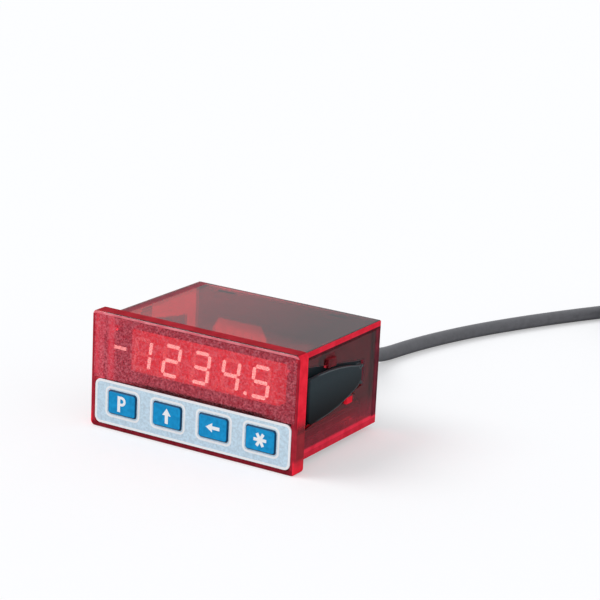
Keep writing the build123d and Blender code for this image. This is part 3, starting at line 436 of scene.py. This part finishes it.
side_skin, roof_skin, body_length = (32.8, 33.4), (34.1, 34.5), (-21.0, 27.0)
lug_skin = (32.95, 33.9)
bezel_width, bezel_end, bezel_front = (-36.2, 36.2), (35.2, 36.2), (-26.0, -25.1)
window_height, window_depth = (16.3, 35.2, 0.4), (-25.7, -25.0)
painted_edge_looks = [
    # Painted glow along the upper and lower corners of the body, on its sides
    PaintedEdgeLook(
        both_sides(
            {"X": side_skin, "Z": (32.6, 34.4), "Y": body_length},
            {"X": side_skin, "Z": (1.6, 3.5, 0.2), "Y": body_length},
        ),
        low=(0.78, 0.016, 0.040),
        high=(0.92, 0.026, 0.058),
        emission=0.15,
        share=0.9,
    ),
    # Painted glow: a brighter line above the lower corners
    PaintedEdgeLook(
        both_sides({"X": side_skin, "Z": (3.5, 4.9, 0.3), "Y": body_length}),
        low=(0.85, 0.020, 0.050),
        high=(0.98, 0.032, 0.070),
        emission=0.32,
        share=0.9,
    ),
    # Painted shade: a dark line below the upper corners
    PaintedEdgeLook(
        both_sides({"X": side_skin, "Z": (31.7, 32.55), "Y": body_length}),
        low=(0.06, 0.006, 0.010),
        high=(0.12, 0.010, 0.018),
        emission=0.0,
        share=0.75,
    ),
    # Painted light: a paler red over the lower parts of the sides
    PaintedEdgeLook(
        both_sides({"X": side_skin, "Z": (2.0, 9.8, 3.0), "Y": body_length}),
        low=(0.62, 0.06, 0.10),
        high=(0.80, 0.08, 0.13),
        emission=0.0,
        share=0.36,
    ),
    # Painted shade on the rear uprights of the sides
    PaintedEdgeLook(
        both_sides({"X": side_skin, "Z": (4.5, 32.0), "Y": (23.2, 26.4, 0.3)}),
        low=(0.13, 0.012, 0.026),
        high=(0.22, 0.020, 0.040),
        emission=0.0,
        share=0.75,
    ),
    # Painted shade on the rear end walls of the clip pockets
    PaintedEdgeLook(
        both_sides({"X": (28.5, 33.4), "Z": (16.2, 24.4, 0.4), "Y": (16.2, 17.2, 0.2)}),
        low=(0.085, 0.036, 0.050),
        high=(0.115, 0.046, 0.062),
        emission=0.0,
        share=0.8,
    ),
    # Painted shade on the top and bottom of the bezel
    PaintedEdgeLook(
        [
            {"X": bezel_width, "Z": (35.3, 36.2), "Y": (-25.1, -20.8)},
            {"X": bezel_width, "Z": (-0.2, 0.7), "Y": (-25.4, -20.8)},
        ],
        low=(0.36, 0.008, 0.018),
        high=(0.46, 0.014, 0.028),
        emission=0.0,
        share=0.98,
    ),
    # Painted light on the front border of the bezel at its sides, wider beside the label
    PaintedEdgeLook(
        both_sides(
            {"X": (35.1, 36.2), "Z": (-0.2, 36.2), "Y": bezel_front},
            {"X": (34.2, 36.2), "Z": (-0.2, 15.6), "Y": bezel_front},
        ),
        low=(0.42, 0.020, 0.038),
        high=(0.56, 0.035, 0.058),
        emission=0.0,
        share=0.8,
    ),
    # Painted shade on the foot of the front border
    PaintedEdgeLook(
        [{"X": bezel_width, "Z": (-0.2, 1.6), "Y": (-26.0, -25.4)}],
        low=(0.24, 0.012, 0.022),
        high=(0.32, 0.020, 0.034),
        emission=0.0,
        share=0.85,
    ),
    # Painted highlight: a pale upper edge of the front border
    PaintedEdgeLook(
        [{"X": bezel_width, "Z": (35.0, 36.2), "Y": (-26.0, -25.45)}],
        low=(0.80, 0.16, 0.20),
        high=(0.98, 0.30, 0.34),
        emission=0.0,
        share=0.85,
    ),
    # Painted glow on the ends of the bezel, above and at the foot
    PaintedEdgeLook(
        both_sides(
            {"X": bezel_end, "Z": (15.0, 37.0, 2.0), "Y": (-25.3, -20.8)},
            {"X": bezel_end, "Z": (0.3, 4.4, 0.6), "Y": (-26.0, -20.8)},
        ),
        low=(0.80, 0.018, 0.038),
        high=(0.95, 0.026, 0.052),
        emission=0.18,
        share=0.95,
    ),
    # Painted light, dimmer, on the ends of the bezel beside the label
    PaintedEdgeLook(
        both_sides({"X": bezel_end, "Z": (2.4, 13.0, 1.0), "Y": (-25.6, -20.8)}),
        low=(0.50, 0.03, 0.05),
        high=(0.66, 0.05, 0.07),
        emission=0.0,
        share=0.6,
    ),
    # Painted light on the left part of the window, as if lit from behind: two stripes, and a
    # fainter one between them
    PaintedEdgeLook(
        [
            {"X": (-34.9, -33.6, 0.4), "Z": window_height, "Y": window_depth},
            {"X": (-30.3, -27.9, 0.6), "Z": window_height, "Y": window_depth},
        ],
        low=(0.95, 0.07, 0.11),
        high=(1.0, 0.12, 0.16),
        emission=0.22,
        share=0.6,
    ),
    PaintedEdgeLook(
        [{"X": (-33.6, -30.3, 0.6), "Z": window_height, "Y": window_depth}],
        low=(0.85, 0.12, 0.17),
        high=(0.95, 0.20, 0.24),
        emission=0.0,
        share=0.3,
    ),
    # Painted stripe on the roof, standing in for the left wall seen from above through it
    PaintedEdgeLook(
        [{"X": (-31.9, -29.3, 0.3), "Z": roof_skin, "Y": body_length}],
        low=(0.26, 0.03, 0.05),
        high=(0.36, 0.05, 0.07),
        emission=0.0,
        share=0.8,
    ),
    # Painted shade on the left edge of the roof and on the upper lugs beside the clips
    PaintedEdgeLook(
        [
            {"X": (-33.4, -32.5), "Z": roof_skin, "Y": body_length},
            *both_sides({"X": lug_skin, "Z": (26.0, 31.0), "Y": (-6.0, -0.8)}),
        ],
        low=(0.16, 0.012, 0.020),
        high=(0.24, 0.020, 0.030),
        emission=0.0,
        share=0.6,
    ),
    # Painted glow on the lower lugs beside the clips, where they catch light from above
    PaintedEdgeLook(
        both_sides({"X": lug_skin, "Z": (12.9, 15.0), "Y": (6.2, 9.6)}),
        low=(0.80, 0.012, 0.030),
        high=(0.95, 0.018, 0.042),
        emission=0.18,
        share=0.9,
    ),
]

# Finishes by material slot
plastics = {
    "label_silver": dict(
        colour=(0.62, 0.79, 0.90), mottle=0.10, mottle_scale=1500, grain_scale=14000
    ),
    "switch_button": dict(colour=(0.7, 0.7, 0.67)),
    "switch_case": dict(colour=(0.04, 0.04, 0.042)),
    "circuit_board": dict(
        colour=(0.012, 0.05, 0.035),
        roughness=0.35,
        mottle=0.25,
        mottle_scale=700,
        grain_scale=6000,
        grain_depth=0.01,
    ),
    "lamp_holder": dict(colour=(0.05, 0.05, 0.05)),
    "socket_black": dict(colour=(0.02, 0.02, 0.021)),
    "socket_white": dict(colour=(0.7, 0.68, 0.6)),
    "chip_black": dict(colour=(0.02, 0.02, 0.021), roughness=0.55, mottle=0.15),
    "ferrite_grey": dict(colour=(0.07, 0.07, 0.072), roughness=0.6, mottle=0.2),
    "can_aluminium": dict(colour=(0.72, 0.73, 0.74), roughness=0.3, mottle=0.03, metallic=1.0),
    "can_steel": dict(colour=(0.66, 0.65, 0.62), roughness=0.25, mottle=0.03, metallic=1.0),
    "cover_black": dict(
        colour=(0.022, 0.022, 0.025), roughness=0.5, mottle=0.15, grain_scale=5000, grain_depth=0.02
    ),
    "screw_steel": dict(
        colour=(0.62, 0.62, 0.6), roughness=0.3, mottle=0.06, mottle_scale=2000, metallic=1.0
    ),
    "relief_rubber": dict(colour=(0.025, 0.025, 0.027), roughness=0.6, mottle=0.15),
    "cable_grey": dict(
        colour=(0.15, 0.15, 0.16), mottle_scale=500, grain_scale=7000, grain_depth=0.008
    ),
    "connector_black": dict(colour=(0.02, 0.02, 0.022), roughness=0.5, mottle=0.12),
    "connector_nickel": dict(
        colour=(0.68, 0.66, 0.62), roughness=0.24, mottle=0.03, mottle_scale=1500, metallic=1.0
    ),
    "carrier_black": dict(colour=(0.02, 0.02, 0.02), roughness=0.5),
    "contact_gold": dict(colour=(0.83, 0.60, 0.24), roughness=0.22, mottle=0.03, metallic=1.0),
}
# The lit segments are lamps; the glow of the module faces and of the unlit segments is painted
# light
glowing_faces = {
    "module_face": dict(colour=(1.0, 0.18, 0.14), strength=0.62, rest_colour=(0.85, 0.4, 0.37)),
    "segment_lit": dict(colour=(0.45, 1.0, 0.82), strength=5.0, rest_colour=(0.9, 0.8, 0.75)),
    "segment_dark": dict(colour=(1.0, 0.70, 0.55), strength=0.85, rest_colour=(0.95, 0.85, 0.8)),
}
finishes = {name: plastic(name, **look) for name, look in plastics.items()}
finishes.update({name: lamp(name, **look) for name, look in glowing_faces.items()})
finishes["red_clear"] = clear_housing("red_clear", painted_edge_looks)
finishes["foil_frosted"] = frosted_foil("foil_frosted")
finishes["key_blue"] = blue_key("key_blue")
finishes["clip_black"] = clip_plastic("clip_black")
brown, white, blue, black, grey = (
    (0.25, 0.09, 0.03),
    (0.7, 0.7, 0.68),
    (0.03, 0.12, 0.5),
    (0.02, 0.02, 0.02),
    (0.3, 0.3, 0.31),
)
finishes["wire_colours"] = striped(
    "wire_colours",
    [brown, white, blue, black, grey],
    pitch=2.5 * MM,
    start=-3.25 * MM,
    roughness=0.4,
)
slot_of = {entry["node"]: entry["material_slot"] for entry in frame["record"]["subparts"]}
for node, piece in nodes.items():
    finish = finishes[slot_of[node]]
    if not piece.material_slots:
        piece.data.materials.append(finish)
    for slot in piece.material_slots:
        slot.material = finish


# White print on the label and the keys. Its outlines are in mm.
print_thickness = 0.015 * MM
print_white = plastic(
    "print_white", (0.97, 0.98, 0.99), roughness=0.5, mottle=0.02, mottle_scale=3000, specular=0.2
)


def rounded_loop(middle, width, height, corner, steps=6):
    """Points of a rounded rectangle, anticlockwise."""
    points = []
    for turn, (side, rise) in enumerate(((1, 1), (-1, 1), (-1, -1), (1, -1))):
        centre_x = middle[0] + side * (width / 2 - corner)
        centre_z = middle[1] + rise * (height / 2 - corner)
        for step in range(steps + 1):
            angle = math.pi / 2 * (turn + step / steps)
            x = centre_x + corner * math.cos(angle)
            z = centre_z + corner * math.sin(angle)
            points.append((x, z))
    return points


def printed(name, face_y, body, shapes, rings=()):
    """Thin print on the plane face_y: filled outlines, and rings between two outlines."""
    mesh = bmesh.new()

    def row(points, depth):
        return [mesh.verts.new((x * MM, face_y * MM - depth, z * MM)) for x, z in points]

    def band(first, second):
        for index in range(len(first)):
            after = (index + 1) % len(first)
            mesh.faces.new((first[index], first[after], second[after], second[index]))

    for points in shapes:
        front, foot = row(points, print_thickness), row(points, 0)
        mesh.faces.new(front)
        mesh.faces.new(reversed(foot))
        band(foot, front)
    for outer_points, inner_points in rings:
        outer, inner = row(outer_points, print_thickness), row(inner_points, print_thickness)
        outer_foot, inner_foot = row(outer_points, 0), row(inner_points, 0)
        band(outer, inner)
        band(inner_foot, outer_foot)
        band(outer_foot, outer)
        band(inner, inner_foot)
    data = bpy.data.meshes.new(name)
    mesh.to_mesh(data)
    mesh.free()
    piece = bpy.data.objects.new(name, data)
    bpy.context.collection.objects.link(piece)
    data.materials.append(print_white)
    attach(piece, body)


Front = namedtuple("Front", "middle width height face")


def front_of(box):
    """Middle, width and height of a box seen from the front, and the Y of its face, in mm."""
    (left, face, foot), (right, _, top) = box
    middle = ((left + right) / 2 / MM, (foot + top) / 2 / MM)
    return Front(middle, (right - left) / MM, (top - foot) / MM, face / MM)


def ring(middle, width, height, corner, band_width):
    """Outer and inner outline of a band along the inside of a rounded rectangle."""
    inner_width, inner_height = width - 2 * band_width, height - 2 * band_width
    outer = rounded_loop(middle, width, height, corner)
    return outer, rounded_loop(middle, inner_width, inner_height, corner - band_width)


# Border of the label, and a ring round the opening of each key
border_width, label_corner = 0.75, 2.0
key_hole_width, key_hole_height = 10.5, 7.6
key_ring_width, key_ring_gap, key_ring_corner = 0.65, 0.35, 1.9
ring_reach = 2 * (key_ring_gap + key_ring_width)
label = front_of(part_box("keypad_label"))
keys = {key: front_of(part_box("key_cap_" + key)) for key in ("p", "up", "left", "star")}
rings = [ring(label.middle, label.width, label.height, label_corner, border_width)]
for key in keys.values():
    width, height = key_hole_width + ring_reach, key_hole_height + ring_reach
    rings.append(ring(key.middle, width, height, key_ring_corner, key_ring_width))
printed("label_print", label.face, "housing", [], rings)


def arc(middle, radius, steps=12):
    """Points of the right half of a circle, from the top to the foot."""
    angles = [math.pi / 2 - math.pi * step / steps for step in range(steps + 1)]
    return [(middle[0] + radius * math.cos(a), middle[1] + radius * math.sin(a)) for a in angles]


# Letter P: a stem, and a bowl as a ring
p_width, p_height, p_stroke = 2.95, 4.9, 1.0
p_bowl_height, p_bowl_stroke_share = 2.95, 0.82
p_left, p_right, p_top, p_foot = -p_width / 2, p_width / 2, p_height / 2, -p_height / 2
stem_right = p_left + p_stroke
bowl_radius = p_bowl_height / 2
hole_radius = bowl_radius - p_stroke * p_bowl_stroke_share
bowl_middle = (p_right - bowl_radius, p_top - bowl_radius)
letter_shapes = [
    [(p_left, p_foot), (stem_right, p_foot), (stem_right, p_top), (p_left, p_top)],
    [
        (stem_right, bowl_middle[1] + hole_radius),
        (stem_right, p_top),
        *arc(bowl_middle, bowl_radius),
        (stem_right, bowl_middle[1] - bowl_radius),
        (stem_right, bowl_middle[1] - hole_radius),
        *reversed(arc(bowl_middle, hole_radius)),
    ],
]
# Arrow pointing up, from which the left arrow is turned, a little longer and narrower
arrow_length, arrow_head_width, arrow_head_length, arrow_stem = 4.7, 3.0, 2.2, 1.1
left_arrow_length_share, left_arrow_width_share = 1.02, 0.95
arrow_foot = -arrow_length / 2
neck = arrow_length / 2 - arrow_head_length
up_arrow = [
    (arrow_stem / 2, arrow_foot),
    (arrow_stem / 2, neck),
    (arrow_head_width / 2, neck),
    (0, arrow_length / 2),
    (-arrow_head_width / 2, neck),
    (-arrow_stem / 2, neck),
    (-arrow_stem / 2, arrow_foot),
]
left_arrow = [(-z * left_arrow_length_share, x * left_arrow_width_share) for x, z in up_arrow]
# Star of three bars, as one outline: two corners at the end of each arm, and the notch after it
bar_length, bar_width, arms = 4.3, 0.95, 6
star = []
for arm in range(arms):
    angle = 2 * math.pi * arm / arms
    notch_angle = angle + math.pi / arms
    along = Vector((math.cos(angle), math.sin(angle)))
    across = Vector((-along.y, along.x))
    star.append(along * bar_length / 2 - across * bar_width / 2)
    star.append(along * bar_length / 2 + across * bar_width / 2)
    star.append(Vector((math.cos(notch_angle), math.sin(notch_angle))) * bar_width)
legends = {"p": letter_shapes, "up": [up_arrow], "left": [left_arrow], "star": [star]}
for key, shapes in legends.items():
    middle_x, middle_z = keys[key].middle
    placed = [[(x + middle_x, z + middle_z) for x, z in points] for points in shapes]
    printed("legend_" + key, keys[key].face, "key_" + key, placed)


# The free cable: the route of its uncoiled stretch, then a neat coil, as one smooth curve
cable_radius = 2.35 * MM
# Points of the route, in mm
route = [
    (3.0, 42.075, 13.0),
    (3.0, 52.0, 13.0),
    (2.8, 64.0, 9.7),
    (2.4, 76.0, 4.9),
    (2.2, 87.0, 2.4),
    (3.8, 99.0, 2.4),
    (7.3, 114.4, 2.4),
    (13.0, 132.4, 2.4),
    (21.3, 152.0, 2.4),
    (30.3, 170.2, 2.4),
    (39.46, 186.7, 2.4),
]
coil_turn_radius = 30 * MM
coil_pitch = 4.75 * MM
coil_layer_turns, coil_climb_turns = 2.5, 0.45
entry_stub, exit_stub = 18 * MM, 22 * MM
points_per_turn = 16
route_points = [Vector(point) * MM for point in route]
entry_heading = (route_points[-1] - route_points[-2]).normalized()
entry_point = route_points[-1] + entry_heading * entry_stub
to_middle = Vector((entry_heading.y, -entry_heading.x, 0))
coil_middle = entry_point + to_middle * coil_turn_radius
entry_angle = math.atan2(-to_middle.y, -to_middle.x)
coil_turns = 2 * coil_layer_turns + coil_climb_turns


def coil_point(turns):
    """Point of the coil after this many turns: inwards, up, and outwards again."""
    angle = entry_angle - 2 * math.pi * turns
    climbed = min(max((turns - coil_layer_turns) / coil_climb_turns, 0), 1)
    inwards = min(turns, coil_layer_turns)
    outwards = max(turns - coil_layer_turns - coil_climb_turns, 0)
    radius = coil_turn_radius - (inwards - outwards) * coil_pitch
    across = Vector((math.cos(angle), math.sin(angle), 0)) * radius
    return coil_middle + across + Vector((0, 0, climbed * coil_pitch))


exit_angle = entry_angle - 2 * math.pi * coil_turns
exit_heading = Vector((math.sin(exit_angle), -math.cos(exit_angle), 0))
coil_steps = round(coil_turns * points_per_turn)
coil_points = [coil_point(coil_turns * step / coil_steps) for step in range(coil_steps + 1)]
cable_points = route_points + coil_points + [coil_points[-1] + exit_heading * exit_stub]
cable_data = bpy.data.curves.new("meter_cable", "CURVE")
cable_data.dimensions = "3D"
cable_data.bevel_depth = cable_radius
cable_data.bevel_resolution = 6
cable_data.use_fill_caps = True
cable_data.resolution_u = 6
spline = cable_data.splines.new("NURBS")
spline.points.add(len(cable_points) - 1)
for point, place in zip(spline.points, cable_points):
    point.co = (*place, 1)
spline.order_u = 3
spline.use_endpoint_u = True
spline.use_smooth = True
meter_cable = bpy.data.objects.new("meter_cable", cable_data)
bpy.context.collection.objects.link(meter_cable)
meter_cable.data.materials.append(finishes["cable_grey"])
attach(meter_cable, "housing")
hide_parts("cable", "cable_coil")


# Floor: almost white to the camera, and darker where the meter's plastic mirrors it
floor_size = 4.0
bpy.ops.mesh.primitive_plane_add(size=floor_size)
floor = bpy.context.object
floor.name = "floor"
floor_colour, mirrored_colour = (0.90, 0.90, 0.91), (0.38, 0.38, 0.39)
floor_glow, floor_glow_share = 1.42, 0.28
floor_material, tree = material_tree("floor")
path = tree.light_path()
mirrored = tree.calculate(
    "SUBTRACT", path["Is Glossy Ray"], path["Is Transmission Ray"], clamp=True
)
lit_floor = tree.mix_shaders(
    mirrored,
    tree.shader("ShaderNodeBsdfDiffuse", {"Color": floor_colour}),
    tree.shader("ShaderNodeBsdfDiffuse", {"Color": mirrored_colour}),
)
pale = tree.shader("ShaderNodeEmission", {"Strength": floor_glow})
glow_share = tree.calculate("MULTIPLY", path["Is Camera Ray"], floor_glow_share)
tree.show(tree.mix_shaders(glow_share, lit_floor, pale))
floor.data.materials.append(floor_material)


# Surroundings: soft light, with a white backdrop to the camera and through the clear plastic
sky_colour, sky_strength = (0.945, 0.965, 1.0), 0.62
backdrop_colour, backdrop_strength = (1, 1, 1), 1.02
world = bpy.data.worlds.new("world")
bpy.context.scene.world = world
tree = Tree(world, "ShaderNodeOutputWorld")
path = tree.light_path()
seen = tree.calculate("MAXIMUM", path["Is Camera Ray"], path["Is Transmission Ray"])
soft_light = tree.shader("ShaderNodeBackground", {"Color": sky_colour, "Strength": sky_strength})
backdrop = tree.shader(
    "ShaderNodeBackground", {"Color": backdrop_colour, "Strength": backdrop_strength}
)
tree.show(tree.mix_shaders(seen, soft_light, backdrop))


# Broad lamp from above, on the left
sun_heading = Vector((0.62, 0.30, -0.74))
sun = bpy.data.lights.new("sun", "SUN")
sun.energy = 1.35
sun.angle = math.radians(35)
sun_object = bpy.data.objects.new("sun", sun)
sun_object.rotation_euler = sun_heading.to_track_quat("-Z", "Y").to_euler()
bpy.context.collection.objects.link(sun_object)
